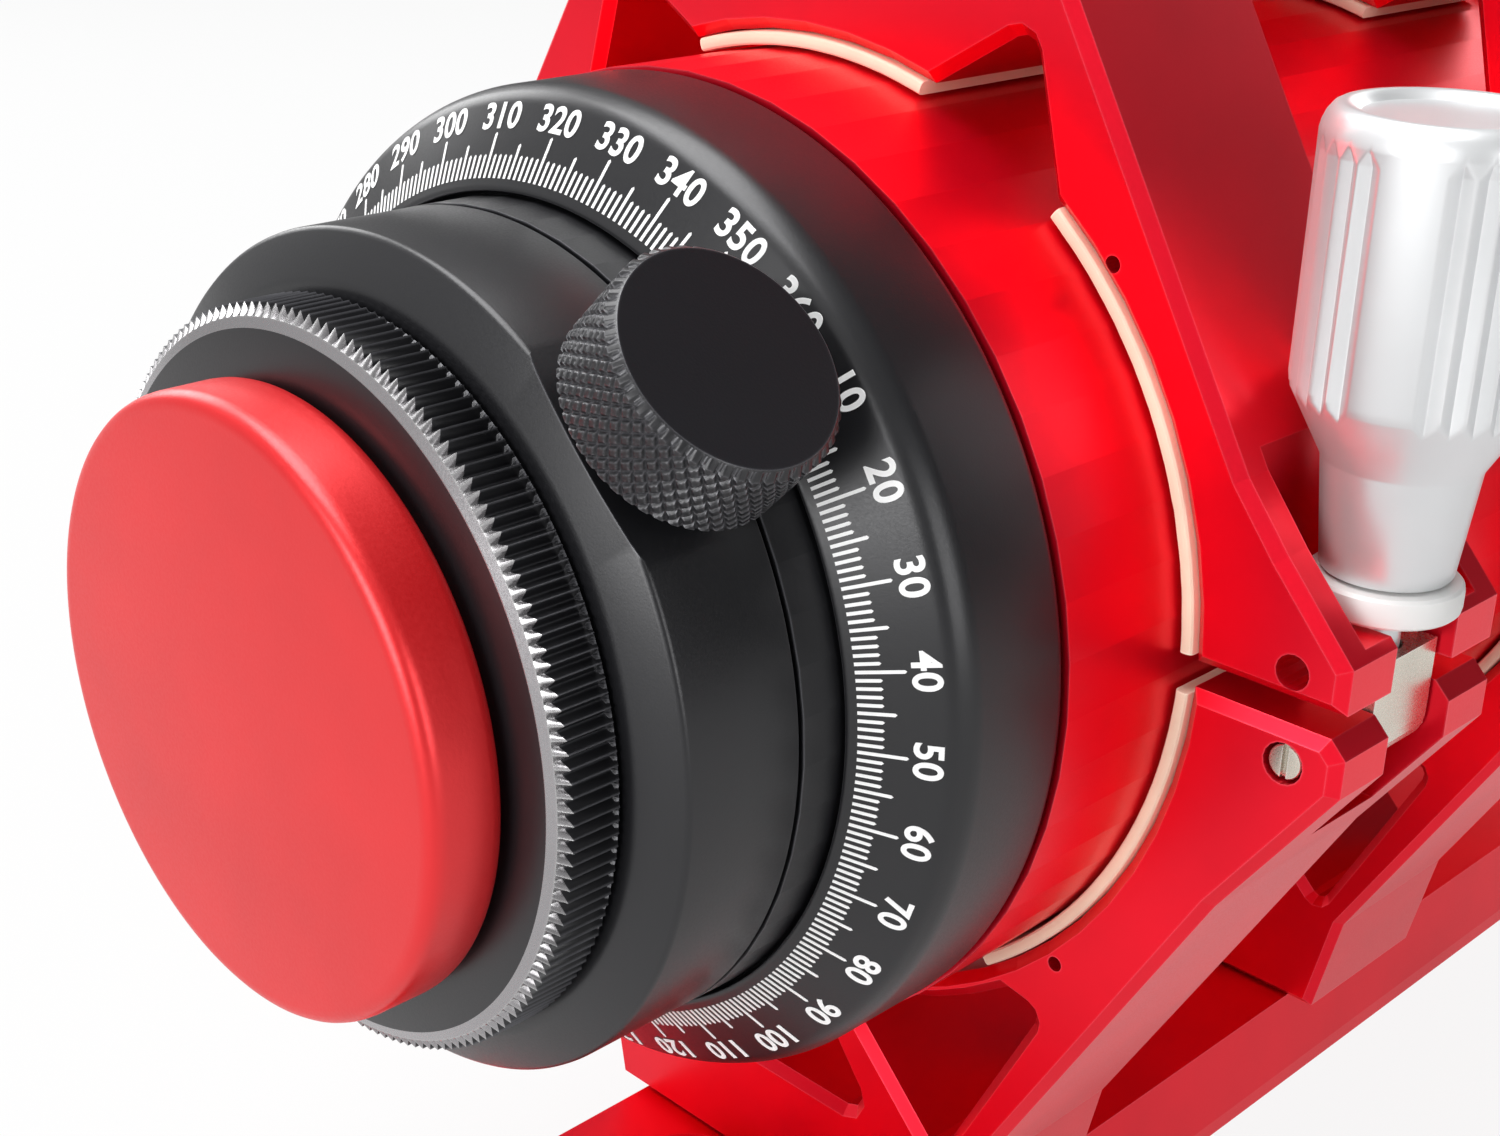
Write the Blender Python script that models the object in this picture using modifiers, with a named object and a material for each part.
"""Short refractor tube with a rear camera rotator, held in two hinged lattice rings on a dovetail bar.

The tube's axis runs along Y: the rear cap is at -Y and the dew shield at +Y. X is to the right and Z is up.
Positions along the tube are measured from the inner ends of the scale's ticks, and heights from the axis.
"""

import math

import bmesh
import bpy

MM = 0.001
DEG = math.pi / 180

# Clearances
FIT = 0.3 * MM           # between pieces that touch or slide on each other
RUN = 0.5 * MM           # round a hinge knuckle
SLACK = 1.0 * MM         # how far a cutter runs past the face it opens

# Main tube
TUBE_R = 45.0 * MM
TUBE_WALL = 2.0 * MM
TUBE_REAR = 16.6 * MM
TUBE_FRONT = 216.0 * MM

# Scale ring: a black cone with the angle scale, then a plain cylinder up to the tube
SCALE_R = TUBE_R - 0.22 * MM
SCALE_LIP_R = SCALE_R - 8.33 * MM
SCALE_ZERO_R = SCALE_R - 7.21 * MM
SCALE_CONE_R = SCALE_R - 1.38 * MM
SCALE_SLOPE = 0.572
SCALE_SHOULDER = 1.4 * MM
SCALE_BORE_R = SCALE_R - 10.78 * MM
SCALE_SPIGOT = 7.5 * MM

# Rotator seat: the fixed collar and the spigot that the rotator turns on
COLLAR_R = SCALE_LIP_R - FIT
COLLAR_REAR = -4.45 * MM
COLLAR_FRONT = 0.8 * MM
SEAT_NOSE = 5.2 * MM
SPIGOT_R = COLLAR_R - 6.15 * MM
SPIGOT_REAR = -12.4 * MM
SEAT_BORE_R = SPIGOT_R - 5.0 * MM
GROOVE_DEPTH = 1.2 * MM
GROOVE_FLOOR = 0.7 * MM

# Rotator body
ROTATOR_REAR = -18.1 * MM
ROTATOR_EDGE = -16.37 * MM
ROTATOR_FACE_R = COLLAR_R - 4.15 * MM
ROTATOR_FLAT = COLLAR_R - 1.15 * MM
THREAD_R = SPIGOT_R - 2.7 * MM

# Adapter ring with its knurled rim
ADAPTER_REAR = -24.2 * MM
ADAPTER_BEVEL = 1.2 * MM
KNURL_R = THREAD_R + 4.05 * MM
ADAPTER_FACE_R = KNURL_R - 0.5 * MM
ADAPTER_NOSE = 5.4 * MM
PORT_R = THREAD_R - 4.3 * MM

# Rear cap
CAP_R = PORT_R + 2.9 * MM
CAP_REAR = -31.76 * MM
CAP_RIM = -24.93 * MM
CAP_EDGE = 1.3 * MM
CAP_WALL = 2.0 * MM
CAP_PLUG = 4.6 * MM

# Thumbscrew, its pressure pad and the guide screws, all in one plane of the rotator
SCREW_Y = -10.0 * MM
THUMB_ANGLE = 45.0 * DEG
THUMB_HEAD_R = 9.6 * MM
THUMB_HEAD_IN = COLLAR_R + 2.05 * MM
THUMB_HEAD_OUT = THUMB_HEAD_IN + 8.3 * MM
THUMB_EDGE = 0.6 * MM
THUMB_STEM_R = 2.0 * MM
PAD_TIP_R = 0.6 * MM
PAD_LENGTH = 2.4 * MM
GUIDE_ANGLES = {"upper": 165.0 * DEG, "lower": 285.0 * DEG}
GUIDE_OUT = COLLAR_R - 0.45 * MM

# Ring cradle: outline of both halves, seen from the rear
RING_BORE = TUBE_R + 1.8 * MM
RING_REARS = {"rear": 30.9 * MM, "front": 103.0 * MM}
RING_WIDTH = 25.1 * MM
SPLIT_UP = 1.4 * MM
SPLIT_DOWN = 1.0 * MM
UPPER_SIDE = RING_BORE + 5.2 * MM
UPPER_TILT = 30.5 * DEG
UPPER_TOP = RING_BORE + 15.2 * MM
UPPER_SIDE_END = 18.4 * MM
NECK = (RING_BORE + 7.1 * MM, 13.0 * MM)
LUG_X = RING_BORE + 14.1 * MM
LUG_TOP = 5.4 * MM
LUG_LOW_X = RING_BORE + 14.5 * MM
LUG_LOW = 5.9 * MM
LUG_CHAMFER = 1.5 * MM
FLARE = (RING_BORE + 4.4 * MM, 20.4 * MM)
HIP = (RING_BORE - 20.1 * MM, RING_BORE + 17.2 * MM)
FOOT_HALF = RING_BORE - 22.8 * MM
FOOT_BOTTOM = RING_BORE + 30.2 * MM
CORNER_R = 2.0 * MM
APEX_CORNER_R = CORNER_R * 0.8
SIDE_CORNER_R = CORNER_R * 0.6
RING_CHAMFER = 1.0 * MM

# Small blind holes in the rear face of each ring half, just outside the bore
PEG_R = 0.75 * MM
PEG_DEEP = 6.0 * MM
UPPER_PEG = (RING_BORE - 11.6 * MM, RING_BORE - 13.8 * MM)
LOWER_PEG = (RING_BORE - 10.9 * MM, 13.7 * MM - RING_BORE)

# Lattice windows of the rings
UPPER_WINDOW = (71.7 * DEG, 52.4 * DEG)
UPPER_APEX = (RING_BORE - 21.8 * MM, RING_BORE + 3.8 * MM)
BORE_WALL = 2.3 * MM
SIDE_WINDOW = (-52.2 * DEG, -79.5 * DEG)
SIDE_WINDOW_EAR = (RING_BORE - 12.4 * MM, RING_BORE - 7.2 * MM)
SIDE_WINDOW_LOW = (RING_BORE - 23.5 * MM, RING_BORE + 15.6 * MM)
MID_WINDOW_TOP = 4.0 * MM
MID_WINDOW_HALF = 14.9 * MM
MID_WINDOW_LOW = RING_BORE + 16.0 * MM

# Clamp side: swing nut, knob and washer
CLAMP_X = RING_BORE + 9.5 * MM
PIVOT_Z = -4.2 * MM
PIVOT_R = 1.55 * MM
SPARE_HOLE = (CLAMP_X - 0.2 * MM, 3.9 * MM)
FORK_CHEEK = 7.6 * MM
FORK_SLOT = 9.9 * MM
SLOT_INNER = CLAMP_X - 5.4 * MM
SLOT_DEPTH = 14.0 * MM
SEAT_WEB = 3.7 * MM
SEAT_WALL_X = CLAMP_X - 7.8 * MM
SEAT_Z = 6.2 * MM
NUT_R = 3.2 * MM
NUT_TOP = 3.0 * MM
STUD_R = 2.0 * MM
STUD_END = -2.1 * MM
WASHER_R = 6.5 * MM
WASHER_THICK = 2.8 * MM
KNOB_STEM_R = 6.0 * MM
KNOB_STEM_TOP = 16.6 * MM
KNOB_NECK = (6.6 * MM, 19.3 * MM)
KNOB_HEAD_R = 9.8 * MM
KNOB_HEAD_FROM = 25.0 * MM
KNOB_HEAD_TO = 45.3 * MM
KNOB_TOP = 47.5 * MM
KNOB_TOP_R = 8.6 * MM
DISH_R = 7.4 * MM
DISH_DEPTH = 0.8 * MM

# Hinge side
HINGE_X = -(RING_BORE + 9.4 * MM)
KNUCKLE_R = 5.0 * MM
HINGE_PIN_R = 2.0 * MM

# Felt strips: where they start and end round the bore
FELT_TOP = (72.8 * DEG, 107.2 * DEG)
FELT_UPPER = (2.4 * DEG, 51.4 * DEG)
FELT_LOWER = (-53.0 * DEG, -2.0 * DEG)

# Dovetail bar
BAR_THICK = 12.0 * MM
BAR_TOP_HALF = 20.4 * MM
BAR_HALF = 22.0 * MM
BAR_FOOT = 2.0 * MM
BAR_REAR = -16.0 * MM
BAR_FRONT = 186.0 * MM
TRIPOD_HOLE_R = 3.3 * MM
TRIPOD_HOLES = (66.0 * MM, 92.0 * MM)
FOOT_SCREW_R = 3.0 * MM
FOOT_HEAD_R = 5.0 * MM
FOOT_HEAD = 5.0 * MM
FOOT_SCREW_TOP = 11.0 * MM - FOOT_BOTTOM
STOP_SCREW_Y = 19.0 * MM
STOP_SCREW_R = 7.0 * MM
STOP_SCREW_TALL = 6.5 * MM
STOP_STEM_R = 2.5 * MM
STOP_STEM = 9.0 * MM

# Handle bar over the rings
HANDLE_HALF = 13.0 * MM
HANDLE_THICK = 10.0 * MM
HANDLE_BEVEL = 2.0 * MM
HANDLE_SCREW_R = 2.0 * MM
HANDLE_HEAD_R = 3.6 * MM
HANDLE_HEAD = 4.0 * MM
HANDLE_SCREW_DEEP = 8.0 * MM

# Focus drive
FOCUS_Y = 80.0 * MM
GEAR_MODULE = 0.8 * MM
PINION_TEETH = 14
RACK_TEETH = 15
BACKLASH = 0.5 * MM
PRESSURE_ANGLE = 20.0 * DEG
GEAR_WIDTH = 4.0 * MM
GEAR_X = -(TUBE_R - TUBE_WALL - 4.1 * MM)
SHAFT_R = 3.0 * MM
BUSH_WALL = 1.4 * MM
HUB_R = 12.0 * MM
HUB_OUT = TUBE_R + 8.0 * MM
TUBE_WINDOW_R = 7.4 * MM
COARSE_R = 14.0 * MM
COARSE_LONG = 9.0 * MM
FINE_R = 9.0 * MM
FINE_LONG = 8.0 * MM
FINE_STEM_R = 1.5 * MM
KNOB_EDGE = 0.8 * MM
CELL_REAR = 108.0 * MM
CELL_LONG = 22.0 * MM
FOCUS_LENS_R = TUBE_R - TUBE_WALL - 11.0 * MM
CELL_BORE = FOCUS_LENS_R - 2.0 * MM
FOCUS_LENS_EDGE = 4.0 * MM
FOCUS_LENS_DISH = 1.6 * MM
RACK_TALL = 3.0 * MM

# Baffles
BAFFLES = {
    "baffle_rear": (34.0 * MM, TUBE_R - TUBE_WALL - 12.0 * MM),
    "baffle_front": (160.0 * MM, TUBE_R - TUBE_WALL - 6.0 * MM),
}
BAFFLE_THICK = 1.5 * MM
BAFFLE_RIM = 4.0 * MM

# Objective
OBJECTIVE_REAR = 198.5 * MM
OBJECTIVE_FRONT = 222.0 * MM
OBJECTIVE_R = TUBE_R + 2.7 * MM
LENS_R = TUBE_R - TUBE_WALL - 7.5 * MM
LENS_SEAT_R = LENS_R - 2.5 * MM
LENS_STOP = 205.5 * MM
CELL_FLOOR = 2.5 * MM
REAR_LENS_EDGE = 4.0 * MM
LENS_BULGE = 2.2 * MM
LENS_SHARES = (0.35, 0.7)
SPACER_THICK = 2.2 * MM
SPACER_WIDE = 2.5 * MM
LOCK_RING_R = LENS_R + 1.5 * MM
LOCK_RING_THICK = 2.2 * MM

# Dew shield and front cap
SHIELD_WALL = 1.7 * MM
SHIELD_REAR = RING_REARS["front"] + RING_WIDTH + 9.9 * MM
SHIELD_FRONT = 246.0 * MM
SHIELD_LIP = 3.0 * MM
FRONT_CAP_THICK = 2.6 * MM
FRONT_CAP_PLUG = 6.0 * MM
FRONT_CAP_WALL = 1.5 * MM

# Number of sides of the round pieces
SIDES_LARGE = 56
SIDES_MID = 32
SIDES_SMALL = 16
ARC_STEP = 6.0 * DEG
SHARP_ANGLE = 30.0 * DEG
WELD = 0.01 * MM

AXIS_HEIGHT = FOOT_BOTTOM + FIT + BAR_THICK
FELT_IN = TUBE_R + FIT
FELT_OUT = RING_BORE - FIT
FINE_OUT = HUB_OUT + FIT + COARSE_LONG + FIT + FINE_LONG
SHIELD_BORE = OBJECTIVE_R + FIT
CAP_FRONT = SHIELD_FRONT + FIT + FRONT_CAP_THICK
MID_X = (CLAMP_X + KNOB_HEAD_R - FINE_OUT) / 2
MID_Y = (CAP_REAR + CAP_FRONT) / 2

RED = ("red_anodised", (0.78, 0.01, 0.03), 0.35, 0.6)
CAP_RED = ("cap_red", (0.72, 0.03, 0.03), 0.4, 0.5)
BLACK = ("black_anodised", (0.03, 0.03, 0.033), 0.45, 0.5)
SILVER = ("silver_anodised", (0.8, 0.8, 0.82), 0.3, 0.8)
STEEL = ("steel", (0.6, 0.58, 0.54), 0.3, 1.0)
BRASS = ("brass", (0.75, 0.6, 0.3), 0.3, 1.0)
FELT = ("felt", (0.85, 0.8, 0.7), 0.95, 0.0)
NYLON = ("nylon", (0.9, 0.9, 0.9), 0.5, 0.0)
GLASS = ("glass", (0.75, 0.85, 0.85), 0.05, 0.0)


def clear_scene():
    for obj in list(bpy.data.objects):
        bpy.data.objects.remove(obj, do_unlink=True)


def new_collection(name):
    collection = bpy.data.collections.new(name)
    bpy.context.scene.collection.children.link(collection)
    return collection


clear_scene()
PARTS = new_collection("telescope_cradle")
CUTTERS = new_collection("cutters")


# ---- frames: empties that carry the pieces of one moving body ----

FRAME_AT = {}


def add_frame(name, at=(0, 0, 0), parent=None):
    """An empty at a place given from the tube's axis; pieces of one body hang on it."""
    empty = bpy.data.objects.new(name, None)
    PARTS.objects.link(empty)
    empty.empty_display_size = 10 * MM
    if parent:
        empty.parent = parent
        empty.location = [a - b for a, b in zip(at, FRAME_AT[parent.name])]
    else:
        empty.location = (-MID_X, -MID_Y, AXIS_HEIGHT)
    FRAME_AT[empty.name] = at
    return empty


def hang(obj, parent, at=(0, 0, 0)):
    """Parents an object and places it at a point given from the tube's axis."""
    obj.parent = parent
    obj.location = [a - b for a, b in zip(at, FRAME_AT[parent.name])]


# ---- materials ----

def material(look):
    name, colour, roughness, metallic = look
    found = bpy.data.materials.get(name)
    if found:
        return found
    made = bpy.data.materials.new(name)
    made.use_nodes = True
    shader = made.node_tree.nodes["Principled BSDF"]
    shader.inputs["Base Color"].default_value = (*colour, 1)
    shader.inputs["Roughness"].default_value = roughness
    shader.inputs["Metallic"].default_value = metallic
    return made


# ---- shapes ----

ALONG_Y = (-math.pi / 2, 0, 0)
UP = (0, 0, 0)
TO_LEFT = (0, -math.pi / 2, 0)


def radial(angle):
    """Turns a piece made along +Z so that it points away from the tube's axis."""
    return (0, math.pi / 2 - angle, 0)


def turned(name, profile, look, parent, at=(0, 0, 0), turn=ALONG_Y, sides=SIDES_LARGE):
    """A lathe-turned piece. The profile lists (radius, height) points of the section, in either direction."""
    area = sum(
        a[0] * b[1] - b[0] * a[1] for a, b in zip(profile, profile[1:] + profile[:1])
    )
    points = list(reversed(profile)) if area > 0 else list(profile)
    on_axis = [i for i, point in enumerate(points) if point[0] == 0]
    edges = [(i, i + 1) for i in range(len(points) - 1)]
    if on_axis:
        first = next(i for i in on_axis if points[i - 1][0] == 0)
        points = points[first:] + points[:first]
    else:
        edges.append((len(points) - 1, 0))
    mesh = bpy.data.meshes.new(name)
    mesh.from_pydata([(r, 0, h) for r, h in points], edges, [])
    obj = bpy.data.objects.new(name, mesh)
    PARTS.objects.link(obj)
    obj.rotation_euler = turn
    hang(obj, parent, at)
    screw = obj.modifiers.new("lathe", "SCREW")
    screw.axis = "Z"
    screw.angle = 2 * math.pi
    screw.steps = sides
    screw.render_steps = sides
    screw.use_merge_vertices = True
    screw.merge_threshold = WELD
    screw.use_smooth_shade = True
    mesh.materials.append(material(look))
    return obj


def extruded(name, loops, depth, look, parent, at, turn=(math.pi / 2, 0, 0), chamfer=0.0):
    """A flat plate cut to one or more outlines, as a mesh that cutters can work on."""
    curve = bpy.data.curves.new(name, "CURVE")
    curve.dimensions = "2D"
    curve.fill_mode = "BOTH"
    curve.extrude = depth / 2 - chamfer
    curve.bevel_depth = chamfer
    curve.bevel_resolution = 0
    curve.offset = -chamfer
    for loop in loops:
        spline = curve.splines.new("POLY")
        spline.points.add(len(loop) - 1)
        for point, place in zip(spline.points, loop):
            point.co = (place[0], place[1], 0, 1)
        spline.use_cyclic_u = True
    outline = bpy.data.objects.new(name + "_outline", curve)
    PARTS.objects.link(outline)
    outline.rotation_euler = turn
    hang(outline, parent, at)
    bpy.context.view_layer.update()
    return solid_of_curve(outline, name, look, parent)


def solid_of_curve(curve_object, name, look, parent):
    """Turns a curve into a welded mesh object in the same place, and removes the curve."""
    graph = bpy.context.evaluated_depsgraph_get()
    mesh = bpy.data.meshes.new_from_object(curve_object.evaluated_get(graph))
    shell = bmesh.new()
    shell.from_mesh(mesh)
    bmesh.ops.remove_doubles(shell, verts=shell.verts, dist=WELD)
    bmesh.ops.recalc_face_normals(shell, faces=shell.faces)
    shell.to_mesh(mesh)
    shell.free()
    mesh.name = name
    mesh.materials.clear()
    mesh.materials.append(material(look))
    mesh.shade_smooth()
    mesh.set_sharp_from_angle(angle=SHARP_ANGLE)
    obj = bpy.data.objects.new(name, mesh)
    PARTS.objects.link(obj)
    obj.parent = parent
    obj.matrix_world = curve_object.matrix_world
    bpy.data.objects.remove(curve_object, do_unlink=True)
    return obj


def box(name, low, high, collection=PARTS):
    """A block between two corners given from the tube's axis, not yet parented."""
    bpy.ops.mesh.primitive_cube_add(size=1)
    obj = bpy.context.object
    obj.name = name
    obj.scale = [b - a for a, b in zip(low, high)]
    bpy.ops.object.transform_apply(location=False, rotation=False, scale=True)
    for owner in list(obj.users_collection):
        owner.objects.unlink(obj)
    collection.objects.link(obj)
    return obj


def middle(low, high):
    return [(a + b) / 2 for a, b in zip(low, high)]


# ---- cutters ----

def cut(target, cutter):
    cutter.hide_render = True
    cutter.display_type = "WIRE"
    opening = target.modifiers.new("cut", "BOOLEAN")
    opening.operation = "DIFFERENCE"
    opening.solver = "EXACT"
    opening.object = cutter


def box_cutter(name, low, high):
    cutter = box(name, low, high, CUTTERS)
    hang(cutter, cradle, middle(low, high))
    return cutter


def round_cutter(name, radius, length, start, turn, sides=SIDES_SMALL):
    """A cylinder that starts at a point and runs along the turned +Z."""
    bpy.ops.mesh.primitive_cylinder_add(radius=radius, depth=length, vertices=sides)
    cutter = bpy.context.object
    cutter.name = name
    for vertex in cutter.data.vertices:
        vertex.co.z += length / 2
    for owner in list(cutter.users_collection):
        owner.objects.unlink(cutter)
    CUTTERS.objects.link(cutter)
    cutter.rotation_euler = turn
    hang(cutter, cradle, start)
    return cutter


# ---- outlines ----

def arc(centre, radius, start, end, step=ARC_STEP):
    count = max(2, round(abs(end - start) / step))
    angles = [start + (end - start) * i / count for i in range(count + 1)]
    return [
        (centre[0] + radius * math.cos(a), centre[1] + radius * math.sin(a)) for a in angles
    ]


def filleted(before, corner, after, radius, count=3):
    """The corner of an outline, rounded."""
    to_before = unit(before[0] - corner[0], before[1] - corner[1])
    to_after = unit(after[0] - corner[0], after[1] - corner[1])
    half = math.acos(to_before[0] * to_after[0] + to_before[1] * to_after[1]) / 2
    inward = unit(to_before[0] + to_after[0], to_before[1] + to_after[1])
    reach = radius / math.sin(half)
    centre = (corner[0] + inward[0] * reach, corner[1] + inward[1] * reach)
    along = radius / math.tan(half)
    first = (corner[0] + to_before[0] * along, corner[1] + to_before[1] * along)
    last = (corner[0] + to_after[0] * along, corner[1] + to_after[1] * along)
    start = math.atan2(first[1] - centre[1], first[0] - centre[0])
    sweep = math.atan2(last[1] - centre[1], last[0] - centre[0]) - start
    sweep = (sweep + math.pi) % (2 * math.pi) - math.pi
    return [
        (
            centre[0] + radius * math.cos(start + sweep * i / count),
            centre[1] + radius * math.sin(start + sweep * i / count),
        )
        for i in range(count + 1)
    ]


def unit(x, y):
    size = math.hypot(x, y)
    return (x / size, y / size)


def tangent_angle(point, centre, radius, side):
    """Where a line from the point touches the circle, as an angle round its centre."""
    dx = point[0] - centre[0]
    dy = point[1] - centre[1]
    return math.atan2(dy, dx) + side * math.acos(radius / math.hypot(dx, dy))


def mirrored(points):
    return [(-x, z) for x, z in reversed(points)]


def side_x(height):
    """Half width of the upper ring's sloping side at a height."""
    return (UPPER_SIDE - height * math.sin(UPPER_TILT)) / math.cos(UPPER_TILT)


# ---- the ring halves ----

CENTRE = (0.0, 0.0)
HINGE = (HINGE_X, 0.0)


def upper_outline():
    """The upper half ring: lugs at the split, sloping sides, flat top, and windows open to the bore."""
    start = math.asin(SPLIT_UP / RING_BORE)
    side = [(LUG_X, SPLIT_UP), (LUG_X, LUG_TOP), NECK, (side_x(UPPER_SIDE_END), UPPER_SIDE_END)]
    side.append((side_x(UPPER_TOP), UPPER_TOP))
    left_neck = (-NECK[0], NECK[1])
    touch = tangent_angle(left_neck, HINGE, KNUCKLE_R, 1)
    knuckle_end = 2 * math.pi + math.asin(SPLIT_UP / KNUCKLE_R)
    left = [(-side_x(UPPER_TOP), UPPER_TOP), (-side_x(UPPER_SIDE_END), UPPER_SIDE_END), left_neck]
    left += arc(HINGE, KNUCKLE_R, touch, knuckle_end, 4 * ARC_STEP)
    top, low = UPPER_WINDOW
    edge_top = arc(CENTRE, RING_BORE, top, top)[0]
    edge_low = arc(CENTRE, RING_BORE, low, low)[0]
    apex = filleted(edge_low, UPPER_APEX, edge_top, APEX_CORNER_R)
    right_window = list(reversed(apex))
    inner = arc(CENTRE, RING_BORE, math.pi - start, math.pi - low)
    inner += mirrored(right_window)
    inner += arc(CENTRE, RING_BORE, math.pi - top, top)
    inner += right_window
    inner += arc(CENTRE, RING_BORE, low, start)
    return side + left + inner


def lower_outline():
    """The lower half ring: lugs at the split, sloping sides and a foot."""
    start = math.asin(SPLIT_DOWN / RING_BORE)
    inner = arc(CENTRE, RING_BORE, -math.pi + start, -start)
    side = [
        (LUG_LOW_X - LUG_CHAMFER, -SPLIT_DOWN),
        (LUG_LOW_X, -SPLIT_DOWN - LUG_CHAMFER),
        (LUG_LOW_X, -LUG_LOW),
        (FLARE[0], -FLARE[1]),
        (HIP[0], -HIP[1]),
        (FOOT_HALF, -FOOT_BOTTOM),
    ]
    left_flare = (-FLARE[0], -FLARE[1])
    touch = tangent_angle(left_flare, HINGE, KNUCKLE_R, -1) % (2 * math.pi)
    left = [(-FOOT_HALF, -FOOT_BOTTOM), (-HIP[0], -HIP[1]), left_flare]
    knuckle_end = -math.asin(SPLIT_DOWN / KNUCKLE_R)
    left += arc(HINGE, KNUCKLE_R, touch, knuckle_end, 4 * ARC_STEP)
    return inner + side + left


def side_window():
    """The window beside the foot: its top follows the bore, its left edge the strut."""
    wall_r = RING_BORE + BORE_WALL
    ear = (SIDE_WINDOW_EAR[0], -SIDE_WINDOW_EAR[1])
    low = (SIDE_WINDOW_LOW[0], -SIDE_WINDOW_LOW[1])
    top = arc(CENTRE, wall_r, SIDE_WINDOW[1], SIDE_WINDOW[0])
    outer = filleted(top[-1], ear, low, SIDE_CORNER_R)
    bottom = filleted(ear, low, top[0], SIDE_CORNER_R)
    return top + outer + bottom


def middle_window():
    """The window over the foot, with a flat floor."""
    wall_r = RING_BORE + BORE_WALL
    half_angle = math.asin(MID_WINDOW_TOP / wall_r)
    top = arc(CENTRE, wall_r, -math.pi / 2 + half_angle, -math.pi / 2 - half_angle)
    left = (-MID_WINDOW_HALF, -MID_WINDOW_LOW)
    right = (MID_WINDOW_HALF, -MID_WINDOW_LOW)
    return top + filleted(top[-1], left, right, CORNER_R) + filleted(left, right, top[0], CORNER_R)


def ring_middle(place):
    return RING_REARS[place] + RING_WIDTH / 2


def slot_span(place, clearance=0.0):
    rear = RING_REARS[place] + FORK_CHEEK - clearance
    return rear, RING_REARS[place] + FORK_CHEEK + FORK_SLOT + clearance


def along_ring(name, radius, spot, start, end):
    """A cutter along Y through a ring's lug or knuckle."""
    return round_cutter(name, radius, end - start, (spot[0], start, spot[1]), ALONG_Y)


def lower_ring(place):
    rear = RING_REARS[place]
    front = rear + RING_WIDTH
    loops = [lower_outline(), side_window(), mirrored(side_window()), middle_window()]
    ring = extruded(
        "lower_ring_" + place, loops, RING_WIDTH, RED, cradle, (0, ring_middle(place), 0),
        chamfer=RING_CHAMFER
    )
    slot = slot_span(place)
    knuckle = slot_span(place, -FIT)
    cut(ring, box_cutter(
        "fork_" + place, (SLOT_INNER, slot[0], -SLOT_DEPTH), (LUG_LOW_X + SLACK, slot[1], SLACK)
    ))
    pivot = (CLAMP_X, PIVOT_Z)
    cut(ring, along_ring("pivot_hole_" + place, PIVOT_R + FIT, pivot, rear - SLACK, front + SLACK))
    cut(ring, along_ring("near_cheek_" + place, KNUCKLE_R + RUN, HINGE, rear - SLACK, knuckle[0]))
    cut(ring, along_ring("far_cheek_" + place, KNUCKLE_R + RUN, HINGE, knuckle[1], front + SLACK))
    cut(ring, along_ring("pin_hole_low_" + place, HINGE_PIN_R + FIT, HINGE, rear, front))
    cut(ring, along_ring("peg_hole_low_" + place, PEG_R, LOWER_PEG, rear - SLACK, rear + PEG_DEEP))
    cut(ring, round_cutter(
        "foot_hole_" + place, FOOT_SCREW_R + FIT, FOOT_SCREW_TOP + FIT + FOOT_BOTTOM + SLACK,
        (0, ring_middle(place), -FOOT_BOTTOM - SLACK), UP
    ))
    return ring


def upper_ring(place):
    rear = RING_REARS[place]
    front = rear + RING_WIDTH
    ring = extruded(
        "upper_ring_" + place, [upper_outline()], RING_WIDTH, RED, upper_half, (0, ring_middle(place), 0),
        chamfer=RING_CHAMFER
    )
    slot = slot_span(place)
    cut(ring, box_cutter(
        "seat_" + place, (SEAT_WALL_X, rear + SEAT_WEB, SEAT_Z),
        (LUG_X + SLACK, front - SEAT_WEB, UPPER_TOP)
    ))
    cut(ring, box_cutter(
        "stud_slot_" + place, (SLOT_INNER, slot[0], -SLACK), (LUG_X + SLACK, slot[1], SEAT_Z + SLACK)
    ))
    cut(ring, along_ring("spare_hole_" + place, PIVOT_R, SPARE_HOLE, rear - SLACK, front + SLACK))
    cut(ring, along_ring("knuckle_gap_" + place, KNUCKLE_R + RUN, HINGE, slot[0], slot[1]))
    cut(ring, along_ring("pin_hole_up_" + place, HINGE_PIN_R + FIT, HINGE, rear - SLACK, front + SLACK))
    cut(ring, along_ring("peg_hole_up_" + place, PEG_R, UPPER_PEG, rear - SLACK, rear + PEG_DEEP))
    cut(ring, round_cutter(
        "handle_hole_" + place, HANDLE_SCREW_R + FIT, HANDLE_SCREW_DEEP + FIT + SLACK,
        (0, ring_middle(place), UPPER_TOP - HANDLE_SCREW_DEEP - FIT), UP
    ))
    return ring


def felt_strip(start, end):
    return arc(CENTRE, FELT_OUT, start, end) + arc(CENTRE, FELT_IN, end, start)


def felts(place):
    depth = RING_WIDTH - 2 * FIT
    at = (0, ring_middle(place), 0)
    upper = felt_strip(*FELT_UPPER)
    lower = felt_strip(*FELT_LOWER)
    extruded("top_felt_" + place, [felt_strip(*FELT_TOP)], depth, FELT, upper_half, at)
    extruded("upper_felt_right_" + place, [upper], depth, FELT, upper_half, at)
    extruded("upper_felt_left_" + place, [mirrored(upper)], depth, FELT, upper_half, at)
    extruded("lower_felt_right_" + place, [lower], depth, FELT, cradle, at)
    extruded("lower_felt_left_" + place, [mirrored(lower)], depth, FELT, cradle, at)


# ---- hinge and clamp of one ring ----

def hinge_pin(place):
    rear = RING_REARS[place] + FIT
    length = RING_WIDTH - 2 * FIT
    turned(
        "hinge_pin_" + place, [(0, 0), (HINGE_PIN_R, 0), (HINGE_PIN_R, length), (0, length)], STEEL,
        cradle, (HINGE_X, rear, 0), sides=SIDES_SMALL
    )


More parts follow.
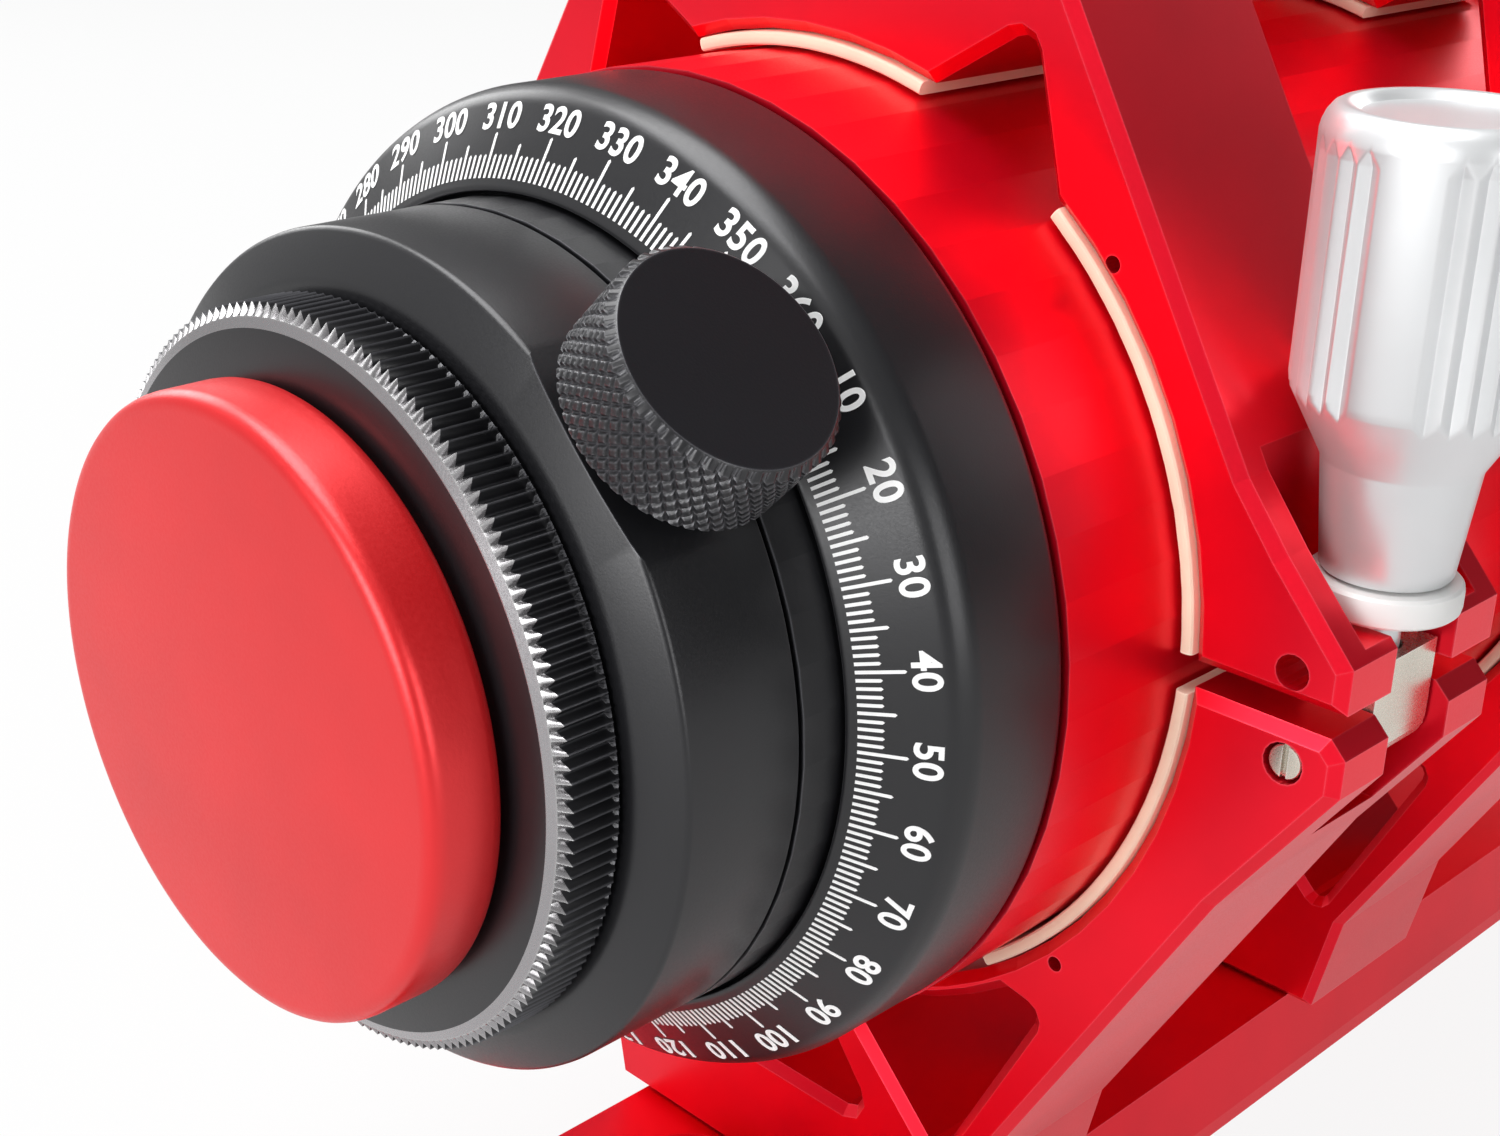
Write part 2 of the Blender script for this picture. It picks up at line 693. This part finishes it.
def pivot_screw(place):
    rear = RING_REARS[place] + FIT
    length = RING_WIDTH - 2 * FIT
    turned(
        "pivot_screw_" + place, [(0, 0), (PIVOT_R, 0), (PIVOT_R, length), (0, length)], STEEL,
        cradle, (CLAMP_X, rear, PIVOT_Z), sides=SIDES_SMALL
    )


def swing_nut(place):
    """A round-ended block in the fork, drilled for its pivot and for the knob's stud."""
    outline = arc((0, PIVOT_Z), NUT_R, -math.pi, 0, 3 * ARC_STEP) + [(NUT_R, NUT_TOP), (-NUT_R, NUT_TOP)]
    rear, front = slot_span(place, -FIT)
    nut = extruded(
        "swing_nut_" + place, [outline], front - rear, STEEL, cradle,
        (CLAMP_X, ring_middle_of(rear, front), 0)
    )
    pivot = (CLAMP_X, PIVOT_Z)
    cut(nut, along_ring("nut_pivot_" + place, PIVOT_R + FIT, pivot, rear - SLACK, front + SLACK))
    cut(nut, round_cutter(
        "nut_thread_" + place, STUD_R + FIT, NUT_TOP + SLACK - PIVOT_Z,
        (CLAMP_X, clamp_y(place), PIVOT_Z), UP
    ))


def ring_middle_of(rear, front):
    return (rear + front) / 2


def clamp_y(place):
    return ring_middle_of(*slot_span(place))


def clamp(place):
    at = (CLAMP_X, clamp_y(place), 0)
    travel = add_frame("clamp_" + place, at, upper_half)
    washer_low = SEAT_Z + FIT
    washer_high = washer_low + WASHER_THICK
    profile = [
        (STUD_R + FIT, washer_low),
        (WASHER_R, washer_low),
        (WASHER_R, washer_high),
        (STUD_R + FIT, washer_high),
    ]
    turned("nylon_washer_" + place, profile, NYLON, travel, at, UP, SIDES_MID)
    stem_low = washer_high + FIT
    profile = [
        (0, STUD_END),
        (STUD_R, STUD_END),
        (STUD_R, stem_low),
        (KNOB_STEM_R, stem_low),
        (KNOB_STEM_R, KNOB_STEM_TOP),
        KNOB_NECK,
        (KNOB_HEAD_R, KNOB_HEAD_FROM),
        (KNOB_HEAD_R, KNOB_HEAD_TO),
        (KNOB_TOP_R, KNOB_TOP),
        (DISH_R, KNOB_TOP),
        (DISH_R - DISH_DEPTH, KNOB_TOP - DISH_DEPTH),
        (0, KNOB_TOP - DISH_DEPTH),
    ]
    turned("clamp_knob_" + place, profile, SILVER, travel, at, UP, SIDES_MID)


# ---- bar and handle ----

BAR_TOP = -FOOT_BOTTOM - FIT
BAR_BOTTOM = BAR_TOP - BAR_THICK


def dovetail_bar():
    outline = [
        (BAR_HALF, BAR_BOTTOM),
        (BAR_HALF, BAR_BOTTOM + BAR_FOOT),
        (BAR_TOP_HALF, BAR_TOP),
        (-BAR_TOP_HALF, BAR_TOP),
        (-BAR_HALF, BAR_BOTTOM + BAR_FOOT),
        (-BAR_HALF, BAR_BOTTOM),
    ]
    bar = extruded(
        "dovetail_bar", [outline], BAR_FRONT - BAR_REAR, RED, cradle, (0, (BAR_REAR + BAR_FRONT) / 2, 0),
        chamfer=RING_CHAMFER / 2
    )
    through = BAR_THICK + 2 * SLACK
    for y in TRIPOD_HOLES:
        cut(bar, round_cutter("tripod_hole", TRIPOD_HOLE_R, through, (0, y, BAR_BOTTOM - SLACK), UP))
    cut(bar, round_cutter(
        "stop_hole", STOP_STEM_R + FIT, through, (0, STOP_SCREW_Y, BAR_BOTTOM - SLACK), UP
    ))
    for place in RING_REARS:
        at = (0, ring_middle(place), BAR_BOTTOM - SLACK)
        cut(bar, round_cutter("foot_shank_hole", FOOT_SCREW_R + FIT, through, at, UP))
        cut(bar, round_cutter("foot_head_hole", FOOT_HEAD_R + FIT, FOOT_HEAD + 2 * FIT + SLACK, at, UP))
    return bar


def foot_screws():
    """Cap screws from under the bar, up into the feet of the rings."""
    under = BAR_BOTTOM + FIT
    profile = [
        (0, under),
        (FOOT_HEAD_R, under),
        (FOOT_HEAD_R, under + FOOT_HEAD),
        (FOOT_SCREW_R, under + FOOT_HEAD),
        (FOOT_SCREW_R, FOOT_SCREW_TOP),
        (0, FOOT_SCREW_TOP),
    ]
    for place in RING_REARS:
        turned("foot_screw_" + place, profile, STEEL, cradle, (0, ring_middle(place), 0), UP, SIDES_SMALL)


def stop_screw():
    seat = BAR_TOP + FIT
    profile = [
        (0, BAR_TOP - STOP_STEM),
        (STOP_STEM_R, BAR_TOP - STOP_STEM),
        (STOP_STEM_R, seat),
        (STOP_SCREW_R, seat),
        (STOP_SCREW_R, seat + STOP_SCREW_TALL),
        (0, seat + STOP_SCREW_TALL),
    ]
    turned("stop_screw", profile, RED, cradle, (0, STOP_SCREW_Y, 0), UP, SIDES_MID)


def handle_bar():
    low = (-HANDLE_HALF, RING_REARS["rear"], UPPER_TOP + FIT)
    high = (HANDLE_HALF, RING_REARS["front"] + RING_WIDTH, UPPER_TOP + FIT + HANDLE_THICK)
    bar = box("handle_bar", low, high)
    hang(bar, upper_half, middle(low, high))
    bar.data.materials.append(material(RED))
    bevel = bar.modifiers.new("edges", "BEVEL")
    bevel.width = HANDLE_BEVEL
    bevel.segments = 2
    head_deep = HANDLE_HEAD + 2 * FIT
    for place in RING_REARS:
        at = (0, ring_middle(place), low[2] - SLACK)
        cut(bar, round_cutter("handle_shank_hole", HANDLE_SCREW_R + FIT, HANDLE_THICK + 2 * SLACK, at, UP))
        at = (0, ring_middle(place), high[2] - head_deep)
        cut(bar, round_cutter("handle_head_hole", HANDLE_HEAD_R + FIT, head_deep + SLACK, at, UP))


def handle_screws():
    top = UPPER_TOP + HANDLE_THICK
    profile = [
        (0, UPPER_TOP - HANDLE_SCREW_DEEP),
        (HANDLE_SCREW_R, UPPER_TOP - HANDLE_SCREW_DEEP),
        (HANDLE_SCREW_R, top - HANDLE_HEAD),
        (HANDLE_HEAD_R, top - HANDLE_HEAD),
        (HANDLE_HEAD_R, top),
        (0, top),
    ]
    for place in RING_REARS:
        at = (0, ring_middle(place), 0)
        turned("handle_screw_" + place, profile, STEEL, upper_half, at, UP, SIDES_SMALL)


# ---- tube ----

TUBE_BORE = TUBE_R - TUBE_WALL
INSIDE_R = TUBE_BORE - FIT


def main_tube():
    profile = [(TUBE_BORE, TUBE_REAR), (TUBE_R, TUBE_REAR), (TUBE_R, TUBE_FRONT), (TUBE_BORE, TUBE_FRONT)]
    tube_piece = turned("main_tube", profile, RED, tube)
    cut(tube_piece, round_cutter(
        "pinion_window", TUBE_WINDOW_R, 4 * TUBE_WALL, (-TUBE_BORE + TUBE_WALL, FOCUS_Y, 0), TO_LEFT
    ))


def cone_y(radius):
    return SCALE_SLOPE * (radius - SCALE_ZERO_R)


def scale_ring():
    front = TUBE_REAR - FIT
    step = COLLAR_FRONT + FIT
    shoulder = SCALE_R - SCALE_CONE_R
    round_over = [
        (SCALE_CONE_R + shoulder * math.sin(a), cone_y(SCALE_CONE_R) + SCALE_SHOULDER * (1 - math.cos(a)))
        for a in (30 * DEG, 60 * DEG, 90 * DEG)
    ]
    profile = [(SCALE_LIP_R, cone_y(SCALE_LIP_R)), (SCALE_CONE_R, cone_y(SCALE_CONE_R))]
    profile += round_over
    profile += [
        (SCALE_R, front),
        (INSIDE_R, front),
        (INSIDE_R, front + SCALE_SPIGOT),
        (SCALE_BORE_R, front + SCALE_SPIGOT),
        (SCALE_BORE_R, step),
        (SCALE_LIP_R, step),
    ]
    turned("scale_ring", profile, BLACK, tube)


def rotator_seat():
    groove_top = GROOVE_FLOOR + GROOVE_DEPTH
    profile = [
        (COLLAR_R, COLLAR_REAR),
        (COLLAR_R, COLLAR_FRONT),
        (SCALE_BORE_R - FIT, COLLAR_FRONT),
        (SCALE_BORE_R - FIT, COLLAR_FRONT + SEAT_NOSE),
        (SEAT_BORE_R, COLLAR_FRONT + SEAT_NOSE),
        (SEAT_BORE_R, SPIGOT_REAR),
        (SPIGOT_R, SPIGOT_REAR),
        (SPIGOT_R, SCREW_Y - groove_top),
        (SPIGOT_R - GROOVE_DEPTH, SCREW_Y - GROOVE_FLOOR),
        (SPIGOT_R - GROOVE_DEPTH, SCREW_Y + GROOVE_FLOOR),
        (SPIGOT_R, SCREW_Y + groove_top),
        (SPIGOT_R, COLLAR_REAR),
    ]
    turned("rotator_seat", profile, BLACK, tube)


def baffle(name, at, opening):
    profile = [
        (INSIDE_R, at),
        (INSIDE_R, at + BAFFLE_RIM),
        (INSIDE_R - BAFFLE_THICK, at + BAFFLE_RIM),
        (INSIDE_R - BAFFLE_THICK, at + BAFFLE_THICK),
        (opening, at + BAFFLE_THICK),
        (opening, at),
    ]
    turned(name, profile, BLACK, tube, sides=SIDES_MID)


def lens(name, radius, start, edge, rear_bulge, front_bulge, parent):
    """A round lens. A negative bulge is a hollow face."""
    rear = [(radius * s, start - rear_bulge * (1 - s * s)) for s in LENS_SHARES]
    front = [(radius * s, start + edge + front_bulge * (1 - s * s)) for s in reversed(LENS_SHARES)]
    profile = [(0, start - rear_bulge)] + rear + [(radius, start), (radius, start + edge)] + front
    profile.append((0, start + edge + front_bulge))
    turned(name, profile, GLASS, parent, sides=SIDES_MID)


def objective():
    seat_r = LENS_R + FIT
    lock_floor = OBJECTIVE_FRONT - LOCK_RING_THICK - 2 * FIT
    profile = [
        (LENS_SEAT_R, LENS_STOP - CELL_FLOOR),
        (INSIDE_R, LENS_STOP - CELL_FLOOR),
        (INSIDE_R, TUBE_FRONT + FIT),
        (TUBE_R + FIT, TUBE_FRONT + FIT),
        (TUBE_R + FIT, OBJECTIVE_REAR),
        (OBJECTIVE_R, OBJECTIVE_REAR),
        (OBJECTIVE_R, OBJECTIVE_FRONT),
        (LOCK_RING_R + FIT, OBJECTIVE_FRONT),
        (LOCK_RING_R + FIT, lock_floor),
        (seat_r, lock_floor),
        (seat_r, LENS_STOP),
        (LENS_SEAT_R, LENS_STOP),
    ]
    turned("objective_cell", profile, BLACK, tube)
    rear_lens = LENS_STOP + FIT
    lens("objective_lens_rear", LENS_R, rear_lens, REAR_LENS_EDGE, LENS_BULGE / 2, -LENS_BULGE / 2, tube)
    spacer = rear_lens + REAR_LENS_EDGE + FIT
    profile = [
        (LENS_R, spacer),
        (LENS_R, spacer + SPACER_THICK),
        (LENS_R - SPACER_WIDE, spacer + SPACER_THICK),
        (LENS_R - SPACER_WIDE, spacer),
    ]
    turned("lens_spacer", profile, BLACK, tube, sides=SIDES_MID)
    front_lens = spacer + SPACER_THICK + FIT
    front_edge = lock_floor - front_lens
    lens("objective_lens_front", LENS_R, front_lens, front_edge, LENS_BULGE / 4, LENS_BULGE, tube)
    lock_rear = lock_floor + FIT
    profile = [
        (LOCK_RING_R, lock_rear),
        (LOCK_RING_R, lock_rear + LOCK_RING_THICK),
        (LENS_SEAT_R, lock_rear + LOCK_RING_THICK),
        (LENS_SEAT_R, lock_rear),
    ]
    turned("lens_lock_ring", profile, BLACK, tube, sides=SIDES_MID)


# ---- focus drive ----

def tooth_half(height):
    """Half thickness of a tooth at a height over the pitch line."""
    return (math.pi * GEAR_MODULE - BACKLASH) / 4 - height * math.tan(PRESSURE_ANGLE)


PITCH_R = GEAR_MODULE * PINION_TEETH / 2
TOOTH_OUT = GEAR_MODULE
TOOTH_IN = 1.25 * GEAR_MODULE


def pinion():
    points = []
    step = 2 * math.pi / PINION_TEETH
    for i in range(PINION_TEETH):
        middle_angle = math.pi / 2 + (i + 0.5) * step
        for side, height in ((-1, -TOOTH_IN), (-1, TOOTH_OUT), (1, TOOTH_OUT), (1, -TOOTH_IN)):
            radius = PITCH_R + height
            angle = middle_angle + side * tooth_half(height) / PITCH_R
            points.append((radius * math.cos(angle), radius * math.sin(angle)))
    bore = arc((0, 0), SHAFT_R + FIT, 0, 2 * math.pi - 2 * math.pi / SIDES_SMALL, 2 * math.pi / SIDES_SMALL)
    extruded(
        "focus_pinion", [points, bore], GEAR_WIDTH, BRASS, focus_drive, (GEAR_X, FOCUS_Y, 0),
        (math.pi / 2, 0, math.pi / 2)
    )


def focus_rack():
    """A toothed bar on the focus cell. Its teeth point down to the pinion."""
    pitch = math.pi * GEAR_MODULE
    line = PITCH_R
    top = line + TOOTH_IN + RACK_TALL
    rear = FOCUS_Y - RACK_TEETH * pitch / 2 - pitch
    front = CELL_REAR - FIT
    points = [(front, top), (rear, top), (rear, line + TOOTH_IN)]
    for i in range(RACK_TEETH):
        centre = FOCUS_Y + (i - RACK_TEETH // 2) * pitch
        for side, height in ((-1, -TOOTH_IN), (-1, TOOTH_OUT), (1, TOOTH_OUT), (1, -TOOTH_IN)):
            points.append((centre + side * tooth_half(height), line - height))
    points.append((front, line + TOOTH_IN))
    extruded(
        "focus_rack", [points], GEAR_WIDTH, BRASS, focus_slide, (GEAR_X, 0, 0), (math.pi / 2, 0, math.pi / 2)
    )


def focus_cell():
    front = CELL_REAR + CELL_LONG
    seat = FOCUS_LENS_R + FIT
    stop = CELL_REAR + CELL_LONG / 3
    profile = [
        (CELL_BORE, CELL_REAR),
        (INSIDE_R, CELL_REAR),
        (INSIDE_R, front),
        (seat, front),
        (seat, stop),
        (CELL_BORE, stop),
    ]
    turned("focus_cell", profile, BLACK, focus_slide, sides=SIDES_LARGE)
    lens(
        "focus_lens", FOCUS_LENS_R, stop + FIT, FOCUS_LENS_EDGE, -FOCUS_LENS_DISH, -FOCUS_LENS_DISH / 2,
        focus_slide
    )


def focus_hub():
    """A round boss seated on the tube's left side. It carries the bush and the shaft."""
    low = TUBE_R - 2 * TUBE_WALL
    bush_out = SHAFT_R + FIT + BUSH_WALL
    bore = bush_out + FIT
    at = (0, FOCUS_Y, 0)
    hub = turned(
        "focus_hub", [(bore, low), (HUB_R, low), (HUB_R, HUB_OUT), (bore, HUB_OUT)], BLACK, tube, at, TO_LEFT,
        SIDES_MID
    )
    cut(hub, round_cutter(
        "tube_seat", TUBE_R + FIT, 4 * HUB_R, (0, FOCUS_Y - 2 * HUB_R, 0), ALONG_Y, 2 * SIDES_LARGE
    ))
    bush_low = TUBE_R + FIT
    profile = [
        (SHAFT_R + FIT, bush_low),
        (bush_out, bush_low),
        (bush_out, HUB_OUT),
        (SHAFT_R + FIT, HUB_OUT),
    ]
    turned("shaft_bush", profile, BRASS, tube, at, TO_LEFT, SIDES_SMALL)


def focus_knobs():
    at = (0, FOCUS_Y, 0)
    shaft_in = -GEAR_X - GEAR_WIDTH / 2 - SLACK
    coarse_in = HUB_OUT + FIT
    coarse_out = coarse_in + COARSE_LONG
    bore = FINE_STEM_R + FIT
    profile = [
        (0, shaft_in),
        (SHAFT_R, shaft_in),
        (SHAFT_R, coarse_out),
        (bore, coarse_out),
        (bore, HUB_OUT),
        (0, HUB_OUT),
    ]
    turned("focus_shaft", profile, STEEL, focus_drive, at, TO_LEFT, SIDES_SMALL)
    profile = [
        (SHAFT_R + FIT, coarse_in),
        (COARSE_R - KNOB_EDGE, coarse_in),
        (COARSE_R, coarse_in + KNOB_EDGE),
        (COARSE_R, coarse_out - KNOB_EDGE),
        (COARSE_R - KNOB_EDGE, coarse_out),
        (SHAFT_R + FIT, coarse_out),
    ]
    turned("coarse_focus_knob", profile, BLACK, focus_drive, at, TO_LEFT, SIDES_MID)
    fine_in = coarse_out + FIT
    profile = [
        (0, HUB_OUT + SLACK),
        (FINE_STEM_R, HUB_OUT + SLACK),
        (FINE_STEM_R, fine_in),
        (FINE_R - KNOB_EDGE, fine_in),
        (FINE_R, fine_in + KNOB_EDGE),
        (FINE_R, FINE_OUT - KNOB_EDGE),
        (FINE_R - KNOB_EDGE, FINE_OUT),
        (0, FINE_OUT),
    ]
    turned("fine_focus_knob", profile, RED, fine_drive, at, TO_LEFT, SIDES_MID)


# ---- dew shield and front cap ----

def dew_shield():
    outer = SHIELD_BORE + SHIELD_WALL
    lip = TUBE_R + FIT
    profile = [
        (lip, SHIELD_REAR),
        (outer, SHIELD_REAR),
        (outer, SHIELD_FRONT),
        (SHIELD_BORE, SHIELD_FRONT),
        (SHIELD_BORE, SHIELD_REAR + SHIELD_LIP),
        (lip, SHIELD_REAR + SHIELD_LIP),
    ]
    turned("dew_shield", profile, RED, shield_slide)


def front_cap():
    outer = SHIELD_BORE + SHIELD_WALL
    back = SHIELD_FRONT + FIT
    plug = SHIELD_BORE - FIT
    profile = [
        (0, CAP_FRONT),
        (outer, CAP_FRONT),
        (outer, back),
        (plug, back),
        (plug, back - FRONT_CAP_PLUG),
        (plug - FRONT_CAP_WALL, back - FRONT_CAP_PLUG),
        (plug - FRONT_CAP_WALL, back),
        (0, back),
    ]
    turned("front_cap", profile, RED, front_cap_slide)


# ---- rotator ----

def rotator_body():
    front = COLLAR_REAR - FIT
    bore = SPIGOT_R + FIT
    web = SPIGOT_REAR - FIT
    profile = [
        (COLLAR_R, front),
        (COLLAR_R, ROTATOR_EDGE),
        (ROTATOR_FACE_R, ROTATOR_REAR),
        (THREAD_R, ROTATOR_REAR),
        (THREAD_R, web),
        (bore, web),
        (bore, front),
    ]
    body = turned("rotator_body", profile, BLACK, rotator)
    reach = COLLAR_R - SPIGOT_R + 2 * SLACK
    for angle in (THUMB_ANGLE, *GUIDE_ANGLES.values()):
        start = SPIGOT_R - SLACK
        at = (start * math.cos(angle), SCREW_Y, start * math.sin(angle))
        cut(body, round_cutter("rotator_hole", THUMB_STEM_R + FIT, reach, at, radial(angle)))
    at = (ROTATOR_FLAT * math.cos(THUMB_ANGLE), SCREW_Y, ROTATOR_FLAT * math.sin(THUMB_ANGLE))
    flat = round_cutter("thumb_flat", math.sqrt(2) * COLLAR_R, COLLAR_R, at, radial(THUMB_ANGLE), 4)
    cut(body, flat)


def set_screw_profile(tip, end):
    """A pointed screw or pad: the point stands in the seat's groove."""
    rise = THUMB_STEM_R - PAD_TIP_R
    return [(0, tip), (PAD_TIP_R, tip), (THUMB_STEM_R, tip + rise), (THUMB_STEM_R, end), (0, end)]


def rotator_screws():
    tip = SPIGOT_R - GROOVE_DEPTH + FIT
    at = (0, SCREW_Y, 0)
    profile = set_screw_profile(tip, GUIDE_OUT)
    for side, angle in GUIDE_ANGLES.items():
        turned("guide_screw_" + side, profile, STEEL, rotator, at, radial(angle), SIDES_SMALL)
    pad_end = tip + PAD_LENGTH
    profile = set_screw_profile(tip, pad_end)
    turned("pressure_pad", profile, BRASS, thumb_slide, at, radial(THUMB_ANGLE), SIDES_SMALL)
    stem = pad_end + FIT
    profile = [
        (0, stem),
        (THUMB_STEM_R, stem),
        (THUMB_STEM_R, THUMB_HEAD_IN),
        (THUMB_HEAD_R - THUMB_EDGE, THUMB_HEAD_IN),
        (THUMB_HEAD_R, THUMB_HEAD_IN + THUMB_EDGE),
        (THUMB_HEAD_R, THUMB_HEAD_OUT - THUMB_EDGE),
        (THUMB_HEAD_R - THUMB_EDGE, THUMB_HEAD_OUT),
        (0, THUMB_HEAD_OUT),
    ]
    turned("thumbscrew", profile, BLACK, thumb_slide, at, radial(THUMB_ANGLE), SIDES_MID)


def adapter_ring():
    front = ROTATOR_REAR - FIT
    nose = THREAD_R - FIT
    profile = [
        (ADAPTER_FACE_R, ADAPTER_REAR),
        (KNURL_R, ADAPTER_REAR + ADAPTER_BEVEL),
        (KNURL_R, front),
        (nose, front),
        (nose, front + ADAPTER_NOSE),
        (PORT_R, front + ADAPTER_NOSE),
        (PORT_R, ADAPTER_REAR),
    ]
    turned("adapter_ring", profile, BLACK, adapter)


def rear_cap():
    plug = PORT_R - FIT
    floor = CAP_REAR + CAP_WALL
    profile = [
        (0, CAP_REAR),
        (CAP_R - CAP_EDGE, CAP_REAR),
        (CAP_R - CAP_EDGE / 3, CAP_REAR + CAP_EDGE / 3),
        (CAP_R, CAP_REAR + CAP_EDGE),
        (CAP_R, CAP_RIM),
        (plug, CAP_RIM),
        (plug, CAP_RIM + CAP_PLUG),
        (plug - CAP_WALL, CAP_RIM + CAP_PLUG),
        (plug - CAP_WALL, floor),
        (0, floor),
    ]
    turned("rear_cap", profile, CAP_RED, cap_slide)


# ---- the assembly ----

cradle = add_frame("cradle")
upper_half = add_frame("upper_half", (HINGE_X, 0, 0), cradle)
tube = add_frame("tube", (0, 0, 0), cradle)
rotator = add_frame("rotator", (0, 0, 0), tube)
adapter = add_frame("adapter", (0, 0, 0), rotator)
cap_slide = add_frame("cap_slide", (0, 0, 0), adapter)
thumb_slide = add_frame("thumb_slide", (0, 0, 0), rotator)
focus_drive = add_frame("focus_drive", (0, FOCUS_Y, 0), tube)
fine_drive = add_frame("fine_drive", (0, FOCUS_Y, 0), tube)
focus_slide = add_frame("focus_slide", (0, 0, 0), tube)
shield_slide = add_frame("shield_slide", (0, 0, 0), tube)
front_cap_slide = add_frame("front_cap_slide", (0, 0, 0), shield_slide)
bpy.context.view_layer.update()

dovetail_bar()
foot_screws()
stop_screw()
for ring_place in RING_REARS:
    lower_ring(ring_place)
    upper_ring(ring_place)
    felts(ring_place)
    hinge_pin(ring_place)
    pivot_screw(ring_place)
    swing_nut(ring_place)
    clamp(ring_place)
handle_bar()
handle_screws()
main_tube()
scale_ring()
rotator_seat()
for baffle_name, (baffle_at, baffle_opening) in BAFFLES.items():
    baffle(baffle_name, baffle_at, baffle_opening)
objective()
pinion()
focus_rack()
focus_cell()
focus_hub()
focus_knobs()
dew_shield()
front_cap()
rotator_body()
rotator_screws()
adapter_ring()
rear_cap()
bpy.context.view_layer.update()
